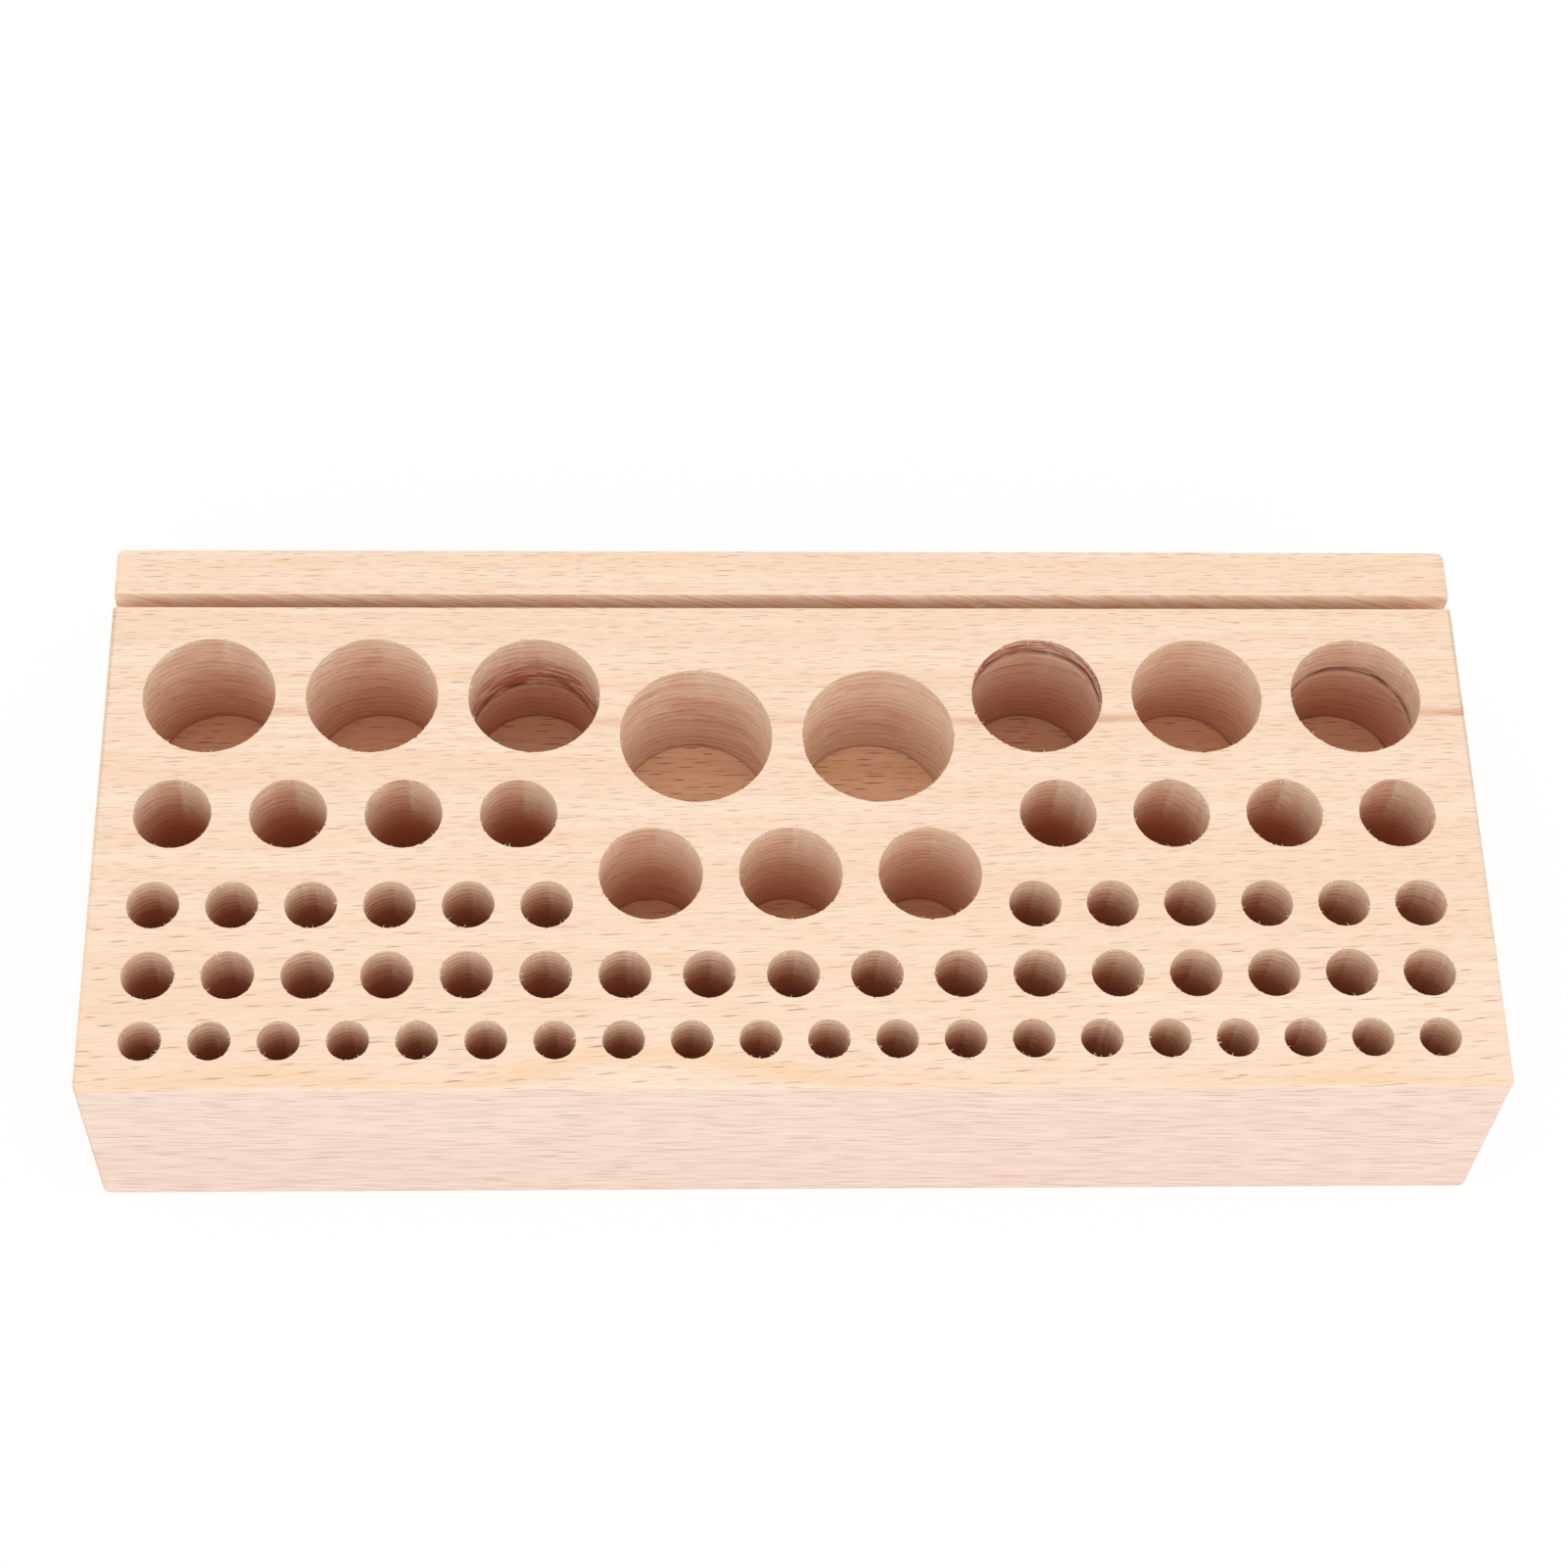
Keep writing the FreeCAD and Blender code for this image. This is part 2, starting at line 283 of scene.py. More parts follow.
class Graph:
    """The nodes of one material, or of the world."""

    NOISE_ROUGHNESS = 0.55
    SPECULAR = 0.3

    def __init__(self, owner: bpy.types.Material | bpy.types.World) -> None:
        """Empties the owner's tree.

        Args:
            owner: The material or the world.
        """
        owner.use_nodes = True
        self.tree = owner.node_tree
        self.tree.nodes.clear()

    def node(self, kind: str, settings: dict[str, Any] | None = None,
             inputs: dict[str | int, Any] | None = None, output: str | int = 0) -> Signal:
        """Adds a node.

        Args:
            kind: The node's type.
            settings: Its own settings, which are set first.
            inputs: Values or links for its sockets, by name or number.
            output: The output that is wanted.

        Returns:
            That output.
        """
        made = self.tree.nodes.new(kind)
        for name, setting in (settings or {}).items():
            setattr(made, name, setting)
        for name, value in (inputs or {}).items():
            if isinstance(value, Signal):
                self.tree.links.new(value.socket, made.inputs[name])
            else:
                made.inputs[name].default_value = value
        return Signal(self, made.outputs[output] if made.outputs else made.inputs[0])

    def math(self, operation: str, first: Value, second: Value) -> Signal:
        """Adds a Math node on two values."""
        return self.node("ShaderNodeMath", {"operation": operation}, {0: first, 1: second})

    def mix(self, share: Value, first: Signal | Colour, second: Signal | Colour) -> Signal:
        """Mixes two colours.

        Args:
            share: The share of the second colour.
            first: The first colour.
            second: The second colour.

        Returns:
            The mixed colour.
        """
        return self.node("ShaderNodeMix", {"data_type": "RGBA"}, {0: share, 6: first, 7: second}, 2)

    def vector(self, x: Value, y: Value, z: Value = 0.0) -> Signal:
        """Joins three values into a vector."""
        return self.node("ShaderNodeCombineXYZ", None, {0: x, 1: y, 2: z})

    def parts(self, vector: Signal) -> tuple[Signal, Signal, Signal]:
        """Splits a vector into its three values."""
        first = self.node("ShaderNodeSeparateXYZ", None, {0: vector})
        return tuple(Signal(self, socket) for socket in first.socket.node.outputs)

    def noise(self, x: Value, y: Value, z: Value = 0.0, detail: float = 2.0) -> Signal:
        """Smooth noise, whose largest lumps have the size of one unit.

        Args:
            x: The place along x.
            y: The place along y.
            z: The place along z.
            detail: How many finer layers lie on the largest lumps.

        Returns:
            The noise, around 0.5.
        """
        inputs = {"Vector": self.vector(x, y, z), "Scale": 1.0, "Detail": detail}
        inputs["Roughness"] = self.NOISE_ROUGHNESS
        return self.node("ShaderNodeTexNoise", {"noise_dimensions": "3D"}, inputs)

    def surface(self, colour: Signal, roughness: Value, height: Signal, relief: float) -> None:
        """Ends the graph in a matt surface.

        Args:
            colour: The base colour.
            roughness: The roughness.
            height: The relief's height, from 0 to 1.
            relief: The relief's full height in millimetres.
        """
        bumps = {"Strength": 1.0, "Distance": relief * MM, "Height": height}
        bump = self.node("ShaderNodeBump", None, bumps)
        looks = {"Base Color": colour, "Roughness": roughness, "Normal": bump}
        looks["Specular IOR Level"] = self.SPECULAR
        shader = self.node("ShaderNodeBsdfPrincipled", None, looks)
        self.node("ShaderNodeOutputMaterial", None, {"Surface": shader})


@dataclass(frozen=True)
class Tree:
    """The tree that the plank comes from, in millimetres in the block's frame."""

    pith_y: float = -85.0
    pith_z: float = -187.0
    ring: float = 2.3
    line: float = 0.55
    year: float = 1.5
    wander: float = 2.4
    red_year: tuple[float, float] = (19.5, 48.0)
    red_width: float = 0.65
    yellow_year: tuple[float, float] = (-57.5, 48.0)
    yellow_width: float = 0.35
    end_middle: tuple[float, float] = (0.0, 24.0)

    def radius(self, y: float, z: float) -> float:
        """Distance of a point from the pith."""
        return math.hypot(y - self.pith_y, z - self.pith_z)


class BeechMaterial:
    """One material of the block: the growth of the tree, laid bare by one kind of cut.

    Lengths are in millimetres. A pattern's size is that of its largest lumps.
    """

    # Patterns of every cut
    DRIFT_SIZE = (110.0, 45.0, 45.0)
    BAND_LENGTH = 320.0
    LINE_LENGTH = 90.0
    FIBRE_SIZE = (18.0, 0.45)
    BLUSH_SIZE = (70.0, 1.6)
    PATCH_SIZE = (40.0, 4.0)

    # Flecks and dashes
    FLECK_SLOPE = 0.04
    FLECK_TURN = 0.0007
    FRONT_TO_BACK = (-50.0, 20.0)
    DASH_SLOPE = -0.02
    WAVER_SIZE = (6.0, 2.0)
    LAYER_SHIFT = (0.37, 0.73)

    # Patterns of a hole's wall
    FUZZ_SIZE = (0.7, 0.7, 0.5)
    WOOL_SIZE = (3.0, 3.0, 0.4)
    HAIR_SIZE = (2.5, 2.5, 0.45)
    HAIR_SLOPE = 0.6
    BLOTCH_SIZE = (20.0, 20.0, 7.0)
    BEND_SIZE = (9.0, 9.0, 3.0)
    BEND = 2.6
    LATE_SIZE = (8.0, 1.2)
    WOBBLE_TURNS = 1.3
    WOBBLE_HEIGHT = 30.0
    STREAK_TURNS = 2.5
    STREAK_HEIGHT = 0.5

    # Depths on a hole's wall, and the height of the painted corner shade above the floor
    TORN_DEPTH = (6.0, 18.0)
    RIM_LIGHT_DEPTH = (0.5, 6.0)
    FRAYED_DEPTH = (0.2, 1.8)
    CORNER_SHADE_HEIGHT = 1.8
    DEEPEST_SHADE = 0.85

    # Radii of holes
    KNIFE_RADIUS = 7.5
    NARROW = (5.0, 8.0)
    NARROW_LINES = (5.0, 9.0)
    NARROW_TINT = (6.0, 9.0)
    NARROW_SMOOTH = (4.5, 7.0)
    NARROW_SHADE = (2.0, 11.0)
    WIDE_FRAY = (8.0, 12.0)
    WIDE = (13.2, 14.8)

    # The scorched ring at this depth has a clean wall above it
    CLEAN_SCORCH = 10.8

    # Kerf and ends
    STROKE_SLANT = math.radians(25)
    STROKE_SIZE = (9.0, 0.4, 2.0)
    RAY_WIDTH = 0.7
    RAY_LENGTH = 22.0
    PORE_WIDTH = 0.35
    END_DEPTH = 9.0

    def __init__(self, finish: Finish, tree: Tree, bored: tuple[float, float]) -> None:
        """Makes the material.

        Args:
            finish: How this cut looks.
            tree: How the wood has grown.
            bored: The levels of the holes' floors and rims, in millimetres.
        """
        self.finish = finish
        self.tree = tree
        self.floor_level, self.rim_level = bored
        self.material = bpy.data.materials.new(f"beech_{finish.cut.name.lower()}")
        self.graph = Graph(self.material)
        place = self.graph.node("ShaderNodeTexCoord", output="Object")
        to_mm = {0: place, "Scale": 1 / MM}
        scaled = self.graph.node("ShaderNodeVectorMath", {"operation": "SCALE"}, to_mm)
        self.x, self.y, self.z = self.graph.parts(scaled)
        self._grow()

    def _grow(self) -> None:
        """Lays out the growth rings, which wander a little along the plank."""
        tree = self.tree
        drift = self._lumps(self.DRIFT_SIZE, detail=1.5) - 0.5
        away = (self.y - tree.pith_y) ** 2.0 + (self.z - tree.pith_z) ** 2.0
        self.radius = self.graph.math("SQRT", away, 0.0) + drift * (2 * tree.wander)

    def _lumps(self, size: tuple[float, float, float], detail: float = 2.0) -> Signal:
        """Noise over the whole block, with lumps of a size along x, y and z."""
        return self.graph.noise(self.x / size[0], self.y / size[1], self.z / size[2], detail)

    def _along_rings(self, length: float, width: float, detail: float = 2.0) -> Signal:
        """Noise along the growth rings, with streaks of a length and width."""
        return self.graph.noise(self.x / length, self.radius / width, detail=detail)

    def rings(self) -> Signal:
        """Adds up the growth rings and the finer lines in them.

        Returns:
            How dark they make the wood, from 0 to 1.
        """
        bands = self._along_rings(self.BAND_LENGTH, self.tree.ring, detail=1.0).rise(0.34, 0.66)
        lines = self._along_rings(self.LINE_LENGTH, self.tree.line, detail=1.5).rise(0.30, 0.72)
        return bands * 0.6 + lines * 0.4

    def flecks(self, kind: Fleck, across: Signal, layer: Signal, slope: Value) -> Signal:
        """Short lens-shaped marks along the grain, one in each cell of a loose pattern.

        Args:
            kind: The room and the size of the marks.
            across: The place across the grain.
            layer: A value that differs between surfaces, so that each has marks of its own.
            slope: How far the marks climb along the grain.

        Returns:
            The strength of the marks, from 0 to 1.
        """
        graph = self.graph
        length, width = kind.room
        half_length, half_width = kind.half
        own = layer + kind.layer
        level = across - self.x * slope
        waver_length, waver_width = self.WAVER_SIZE
        waver = graph.noise(self.x / waver_length, across / waver_width, own, detail=1.0) - 0.5
        along_shift, across_shift = self.LAYER_SHIFT
        along_cell = self.x / length + own * along_shift
        across_cell = (level + waver * (0.8 * half_width)) / width + own * across_shift
        cells = {"Vector": graph.vector(along_cell, across_cell), "Scale": 1.0}
        settings = {"voronoi_dimensions": "2D", "feature": "F1"}
        pattern = graph.node("ShaderNodeTexVoronoi", settings, cells, "Position")
        middle_x, middle_y, _ = graph.parts(pattern)
        chance = Signal(graph, pattern.socket.node.outputs["Color"])
        size, strength, breadth = graph.parts(chance)
        reach = (along_cell - middle_x) * length / (half_length * (0.45 + 0.55 * size))
        spread = (across_cell - middle_y) * width / (half_width * (0.6 + 0.4 * breadth))
        lens = (reach ** 2.0 + abs(spread)).fall(0.2, 1.0)
        return lens * (0.3 + 0.7 * strength)

    def _ray_flecks(self, layer: Signal) -> Signal:
        """The flecks of the rays on a level cut.

        Args:
            layer: A value that differs between surfaces.

        Returns:
            Their strength. On the top they are long and few at the front, and short and many at
            the back.
        """
        slope = self.FLECK_SLOPE - self.y * self.FLECK_TURN
        on_top = self.finish.cut is Cut.FACE
        at_front = self.y.fall(*self.FRONT_TO_BACK) if on_top else 1.0
        longest = LONG_FLECK if on_top else FLOOR_FLECK
        long = self.flecks(longest, self.y, layer, slope) * (0.4 + 0.6 * at_front)
        short = self.flecks(SHORT_FLECK, self.y, layer, slope) * (0.9 - 0.5 * at_front)
        fine = self.flecks(FINE_FLECK, self.y, layer, slope) * (0.45 - 0.2 * at_front)
        return self.graph.math("MAXIMUM", long, self.graph.math("MAXIMUM", short, fine))

    def fibre(self, across: Signal) -> Signal:
        """Fine streaks along the grain, around 0.5."""
        length, width = self.FIBRE_SIZE
        return self.graph.noise(self.x / length, across / width, detail=3.0)

    def build(self) -> bpy.types.Material:
        """Makes the material's nodes.

        Returns:
            The material.
        """
        finish, graph = self.finish, self.graph
        upright = finish.cut in (Cut.SIDE, Cut.KERF)
        across = self.z if upright else self.y
        layer = self.y if upright else self.z
        colour = graph.mix(self.rings() * finish.growth, finish.pale, finish.dark)
        colour = self._streaks(colour)
        height = self.fibre(across)
        colour = graph.mix((height - 0.5) * finish.fibre + 0.12, colour, finish.dark)
        blush = self._along_rings(*self.BLUSH_SIZE).rise(0.45, 0.75)
        colour = graph.mix(blush * 0.3, colour, BLUSH)
        if finish.fleck:
            marks = self._ray_flecks(layer)
            colour = graph.mix(marks * finish.fleck, colour, finish.mark)
            height = height - marks * 0.15
        if finish.dash:
            dashes = self.flecks(SIDE_DASH, across, layer, self.DASH_SLOPE)
            colour = graph.mix(dashes * finish.dash, colour, finish.mark)
            height = height - dashes * 0.3
        if finish.cut is Cut.WALL:
            colour, height = self._bored(colour, height)
        if finish.cut is Cut.FLOOR:
            radius = self._bore_place()[0]
            # Painted shade: the floors of narrower holes are darker
            colour = graph.mix(radius.fall(*self.WIDE) * 0.3, colour, SHADE_AND_TONE)
        if finish.cut is Cut.KERF:
            colour, height = self._sawn(colour, height)
        if finish.cut is Cut.END:
            colour, height = self._end_grain(colour, height)
        graph.surface(colour, finish.roughness + 0.1 * (height - 0.5), height, finish.relief)
        return self.material

    def _streaks(self, colour: Signal) -> Signal:
        """Adds the reddish and the yellowish year to a colour.

        Args:
            colour: The wood's colour.

        Returns:
            The colour with both years.
        """
        graph, tree = self.graph, self.tree
        patchy = self._along_rings(*self.PATCH_SIZE).rise(0.25, 0.6)
        red = self.radius.peak(tree.radius(*tree.red_year), tree.red_width) * patchy
        colour = graph.mix(red * 0.65, colour, RED_YEAR)
        yellow = self.radius.peak(tree.radius(*tree.yellow_year), tree.yellow_width)
        return graph.mix(yellow * 0.35, colour, YELLOW_YEAR)

    def _bore_place(self) -> tuple[Signal, Signal, Signal]:
        """Reads the bore layer.

        Returns:
            On a wall the way out from the hole's axis, along x and y, and the depth of the hole's
            scorched ring. On a floor the hole's radius and two zeros.
        """
        layer = {"attribute_name": BORE_LAYER}
        return self.graph.parts(self.graph.node("ShaderNodeAttribute", layer, output="Vector"))

    def _bored(self, colour: Signal, height: Signal) -> tuple[Signal, Signal]:
        """Adds what the bit leaves on a hole's wall, and the painted shade and light on it.

        Args:
            colour: The wood's colour.
            height: The wood's relief.

        Returns:
            The wall's colour and relief.
        """
        graph = self.graph
        out_x, out_y, scorch = self._bore_place()
        radius = graph.math("SQRT", out_x * out_x + out_y * out_y, 0.0)
        side = (out_x / radius, out_y / radius)
        depth = self.rim_level - self.z
        wobble = self._round_hole(side, self.WOBBLE_TURNS, self.WOBBLE_HEIGHT) - 0.5
        late = self._late_wood()
        wool = self._lumps(self.WOOL_SIZE)
        lines = late * (0.38 + 0.2 * radius.fall(*self.NARROW_LINES)) + wool.rise(0.35, 0.7) * 0.2
        colour = graph.mix(lines, colour, self.finish.mark)
        colour = self._blotched_and_depth_shaded(colour, radius, depth, side[1])
        colour, shag = self._torn(colour, radius, depth, side, wobble)
        colour = self._scorched(colour, depth - scorch + wobble * 2.0, scorch, side)
        # Painted shade in the corner where the wall meets the floor, made uneven by the wool noise
        corner = (self.z - self.floor_level).fall(0.0, self.CORNER_SHADE_HEIGHT)
        colour = graph.mix(corner * (0.05 + 0.5 * wool), colour, FLOOR_CORNER_SHADE)
        return colour, height * 0.3 + late * 0.4 + shag * 0.8

    def _round_hole(self, side: tuple[Signal, Signal], turns: float, height: float,
                    detail: float = 2.0) -> Signal:
        """Noise round a hole's wall, with lumps of a height."""
        return self.graph.noise(side[0] * turns, side[1] * turns, self.z / height, detail)

    def _blotched_and_depth_shaded(self, colour: Signal, radius: Signal, depth: Signal, side_y: Signal) -> Signal:
        """Paints shade that makes a wall darker and redder with depth, and tints it in blotches and along
        the grain.

        Args:
            colour: The wall's colour.
            radius: The hole's radius.
            depth: The depth below the rim.
            side_y: The share of the way out from the hole's axis that runs across the grain.

        Returns:
            The wall's colour.
        """
        graph = self.graph
        shade_and_tone = graph.mix(radius.rise(*self.NARROW_TINT), SHADE_AND_TONE_NARROW, SHADE_AND_TONE)
        blotch = self._lumps(self.BLOTCH_SIZE).rise(0.5, 0.75)
        along_grain = (side_y * side_y).rise(0.35, 1.0) * radius.rise(*self.NARROW_SMOOTH)
        along_grain = along_grain * (0.16 + 0.14 * radius.peak(self.KNIFE_RADIUS, 2.0))
        colour = graph.mix(blotch * 0.25 + along_grain, colour, shade_and_tone)
        # Painted shade: darker and redder with depth, most in narrow holes, up to the deepest share
        per_mm = 0.062 * radius.fall(*self.NARROW_SHADE) + 0.013 * radius.fall(*self.WIDE) + 0.010
        return graph.mix(graph.math("MINIMUM", depth * per_mm, self.DEEPEST_SHADE), colour, shade_and_tone)

    def _torn(self, colour: Signal, radius: Signal, depth: Signal, side: tuple[Signal, Signal],
              wobble: Signal) -> tuple[Signal, Signal]:
        """Adds the two quarters that the bit tears against the grain, the frayed rim and painted rim
        light.

        Args:
            colour: The wall's colour.
            radius: The hole's radius.
            depth: The depth below the rim.
            side: The way out from the hole's axis, along x and y.
            wobble: Slow noise round the hole.

        Returns:
            The wall's colour, and the height of the torn hairs.
        """
        graph = self.graph
        fuzz = self._lumps(self.FUZZ_SIZE, detail=3.0)
        length, width, rise = self.HAIR_SIZE
        climb = (self.z + self.x * self.HAIR_SLOPE) / rise
        hair = graph.noise(self.x / length, self.y / width, climb)
        ragged = wobble * 0.5 + (fuzz - 0.5) * 0.5
        torn = (side[0] * side[1] * 2.0 + ragged).rise(0.0, 0.3) * depth.fall(*self.TORN_DEPTH)
        torn = torn * (0.6 + 0.4 * radius.peak(self.KNIFE_RADIUS, 3.5))
        colour = graph.mix(torn * (0.3 + 0.5 * hair.rise(0.35, 0.65)), colour, TORN_AND_RIM_LIGHT)
        # Painted light: the wall of a narrow hole is paler near the rim
        pale = depth.fall(*self.RIM_LIGHT_DEPTH) * radius.fall(*self.NARROW)
        colour = graph.mix(pale * 0.25, colour, TORN_AND_RIM_LIGHT)
        frayed = depth.fall(*self.FRAYED_DEPTH) * (0.4 + 0.6 * radius.rise(*self.WIDE_FRAY))
        colour = graph.mix(frayed * fuzz.rise(0.35, 0.65) * 0.5, colour, TORN_AND_RIM_LIGHT)
        return colour, torn * hair

    def _late_wood(self) -> Signal:
        """Draws the dark lines at the end of each year's growth.

        Returns:
            Their strength, from 0 to 1. Some are strong and some faint.
        """
        graph = self.graph
        bend = (self._lumps(self.BEND_SIZE, detail=3.0) - 0.5) * self.BEND
        year = graph.math("FRACT", (self.radius + bend) / self.tree.year, 0.0)
        length, width = self.LATE_SIZE
        strength = graph.noise(self.x / length, self.y / length, self.radius / width).rise(0.3, 0.7)
        return year.rise(0.35, 0.9) * year.fall(0.9, 1.0) * (0.25 + 0.75 * strength)

    def _scorched(self, colour: Signal, below: Signal, scorch: Signal,
                  side: tuple[Signal, Signal]) -> Signal:
        """Adds the ring that a hot bit has burnt into some holes.

        Args:
            colour: The wall's colour.
            below: The depth below the ring.
            scorch: The ring's own depth, or 0 in a hole without one.
            side: The way out from the hole's axis, along x and y.

        Returns:
            The colour of the scorched wall.
        """
        graph = self.graph
        burnt = scorch.rise(0.0, 0.5)
        streaks = self._round_hole(side, self.STREAK_TURNS, self.STREAK_HEIGHT, detail=3.0)
        above = below.rise(-13.0, -3.0) * below.fall(-0.6, 0.4) * streaks.rise(0.36, 0.58)
        above = above * (1.0 - 0.8 * scorch.peak(self.CLEAN_SCORCH, 4.0))
        colour = graph.mix(burnt * above * 0.8, colour, SCORCHED_ABOVE)
        colour = graph.mix(burnt * below.rise(0.6, 3.0) * 0.3, colour, SCORCHED_BELOW)
        colour = graph.mix(burnt * below.peak(1.3, 0.4) * 0.2, colour, SCORCHED_EDGE)
        ring = below.peak(0.0, 1.8) * (0.25 + 0.75 * streaks.rise(0.34, 0.6))
        return graph.mix(burnt * ring * 0.9, colour, SCORCHED_RING)

    def _sawn(self, colour: Signal, height: Signal) -> tuple[Signal, Signal]:
        """Adds the slanting strokes of the saw to the kerf.

        Args:
            colour: The wood's colour.
            height: The wood's relief.

        Returns:
            The kerf's colour and relief.
        """
        sine, cosine = math.sin(self.STROKE_SLANT), math.cos(self.STROKE_SLANT)
        over = self.x * sine + self.z * cosine
        along = self.x * cosine - self.z * sine
        length, width, thickness = self.STROKE_SIZE
        strokes = self.graph.noise(along / length, over / width, self.y / thickness)
        colour = self.graph.mix(strokes.rise(0.4, 0.64) * 0.56, colour, self.finish.mark)
        return colour, height * 0.3 + strokes

    def _end_grain(self, colour: Signal, height: Signal) -> tuple[Signal, Signal]:
        """Adds rays and pores to an end of the plank.

        Args:
            colour: The wood's colour.
            height: The wood's relief.

        Returns:
            The end's colour and relief.
        """
        graph, tree = self.graph, self.tree
        bearing = graph.math("ARCTAN2", self.z - tree.pith_z, self.y - tree.pith_y)
        round_pith = bearing * (tree.radius(*tree.end_middle) / self.RAY_WIDTH)
        rays = graph.noise(round_pith, self.radius / self.RAY_LENGTH, self.x / self.END_DEPTH)
        across = (self.y / self.PORE_WIDTH, self.z / self.PORE_WIDTH)
        pores = graph.noise(*across, self.x / self.END_DEPTH, detail=1.0)
        colour = graph.mix(rays.rise(0.52, 0.7) * 0.45, colour, self.finish.pale)
        colour = graph.mix(pores.rise(0.58, 0.75) * 0.5, colour, self.finish.mark)
        return colour, height * 0.4 + rays * 0.3 - pores * 0.4


@dataclass(frozen=True)
class Hole:
    """A blind bored hole, in metres. The depth of its scorched ring is in millimetres."""

    QUARTER_SIDES = 24
    QUARTER_SIDES_PER_MM = 1.2

    centre: Vector
    radius: float
    depth: float
    scorch_mm: float

    @property
    def segments(self) -> int:
        """Sides of the hole's circle: enough for it to look round."""
        return 4 * round(self.QUARTER_SIDES + self.QUARTER_SIDES_PER_MM * self.radius / MM)


@dataclass
class ToolBlock:
    """The plank with its kerf and holes, as one mesh."""

    # Depth of the scorched ring in each hole that has one, in millimetres
    SCORCHED = {"plier_hole_3": 16.5, "plier_hole_4": 4.0, "plier_hole_6": 10.8}

    # Shares of a face's normal: flat faces aren't smoothed, and level ones look like the top
    FLAT = 0.999
    LEVEL = 0.35

    frame: dict[str, Any]
    corner_round: float = 1.5 * MM
    edge_round: float = 0.8 * MM
    round_steps: int = 4
    rim_ease: float = 0.05 * MM
    rim_depth: float = 0.3 * MM
    rim_jitter: float = 0.04 * MM
    nick_depth: float = 0.45 * MM
    nick_least: float = 0.2
    nicks_per_hole: int = 5
    seed: int = 7
    holes: list[Hole] = field(default_factory=list)

    def __post_init__(self) -> None:
        """Reads the plank, the kerf and the holes from the frame."""
        self.low, self.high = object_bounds()
        self.kerf_low, self.kerf_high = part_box("kerf_floor")
        self.chance = random.Random(self.seed)
        bores = [mount for mount in self.frame["record"]["mounts"] if mount["kind"] == "bore"]
        for bore in bores:
            depth = bore["dims"]["length_mm"] * MM
            centre = Vector(bore["pos_m"]) + Vector((0, 0, depth / 2))
            scorch = self.SCORCHED.get(bore["name"], 0.0)
            self.holes.append(Hole(centre, bore["dims"]["r_mm"] * MM, depth, scorch))

    @property
    def bored(self) -> tuple[float, float]:
        """The levels of the holes' floors and rims, in millimetres."""
        deepest = max(hole.depth for hole in self.holes)
        return (self.high.z - deepest) / MM, self.high.z / MM

    def build(self) -> bpy.types.Object:
        """Makes the block's mesh.

        Returns:
            The block, each face numbered for its cut.
        """
        bm = bmesh.new()
        self.bore = bm.loops.layers.float_vector.new(BORE_LAYER)
        self._plank(bm)
        self._kerf(bm)
        self._drill(bm)
        bmesh.ops.recalc_face_normals(bm, faces=bm.faces)
        mesh = bpy.data.meshes.new("tool_block")
        bm.to_mesh(mesh)
        bm.free()
        block = bpy.data.objects.new("tool_block", mesh)
        bpy.context.scene.collection.objects.link(block)
        return block

    def _plank(self, bm: BMesh) -> None:
        """Makes the plank, with rounded corners and eased edges, and sorts its faces by cut.

        Args:
            bm: The block.
        """
        size = self.high - self.low
        place = Matrix.Translation((self.low + self.high) / 2) @ Matrix.Diagonal((*size, 1.0))
        bmesh.ops.create_cube(bm, size=1.0, matrix=place)
        upright = [edge for edge in bm.edges if self._climb(edge) > size.z / 2]
        self._ease(bm, upright, self.corner_round)
        level = [edge for edge in bm.edges if self._climb(edge) < size.z / 2]
        self._ease(bm, level, self.edge_round)
        for face in bm.faces:
            self._sort(face)

    @staticmethod
    def _climb(edge: BMEdge) -> float:
        """How far an edge climbs."""
        return abs(edge.verts[0].co.z - edge.verts[1].co.z)

    def _ease(self, bm: BMesh, edges: list[BMEdge], radius: float) -> None:
        """Rounds edges of the plank."""
        bmesh.ops.bevel(bm, geom=edges, offset=radius, offset_type="OFFSET", segments=self.round_steps,
                        profile=0.5, affect="EDGES", material=-1)

    def _sort(self, face: BMFace) -> None:
        """Gives a face of the plank the slot and shading of its cut.

        Args:
            face: The face.
        """
        face.normal_update()
        x, y, z = (abs(share) for share in face.normal)
        face.smooth = max(x, y, z) < self.FLAT
        if z > self.LEVEL:
            face.material_index = Cut.FACE
        elif x > y:
            face.material_index = Cut.END
        else:
            face.material_index = Cut.SIDE

    def _kerf(self, bm: BMesh) -> None:
        """Saws the kerf, which runs out at both ends.

        Args:
            bm: The block.
        """
        front, back, bottom = self.kerf_low.y, self.kerf_high.y, self.kerf_high.z
        for y in (front, back):
            everything = [*bm.verts, *bm.edges, *bm.faces]
            bmesh.ops.bisect_plane(bm, geom=everything, plane_co=(0, y, 0), plane_no=(0, 1, 0))
        strip = [face for face in bm.faces if front < face.calc_center_median().y < back]
        edges = {edge for face in strip for edge in face.edges}
        verts = {vert for face in strip for vert in face.verts}
        above_kerf = [*verts, *edges, *strip]
        bmesh.ops.bisect_plane(bm, geom=above_kerf, plane_co=(0, 0, bottom), plane_no=(0, 0, 1))
        waste = [face for face in bm.faces if front < face.calc_center_median().y < back
                 and face.calc_center_median().z > bottom]
        bmesh.ops.delete(bm, geom=waste, context="FACES")
        corners = [vert for vert in bm.verts if abs(vert.co.z - bottom) < TOUCH]
        made = bmesh.ops.contextual_create(bm, geom=corners)["faces"]
        for y in (front, back):
            outline = [edge for edge in bm.edges if len(edge.link_faces) == 1
                       and all(abs(vert.co.y - y) < TOUCH for vert in edge.verts)]
            made += bmesh.ops.edgeloop_fill(bm, edges=outline)["faces"]
        for face in made:
            face.material_index = Cut.KERF

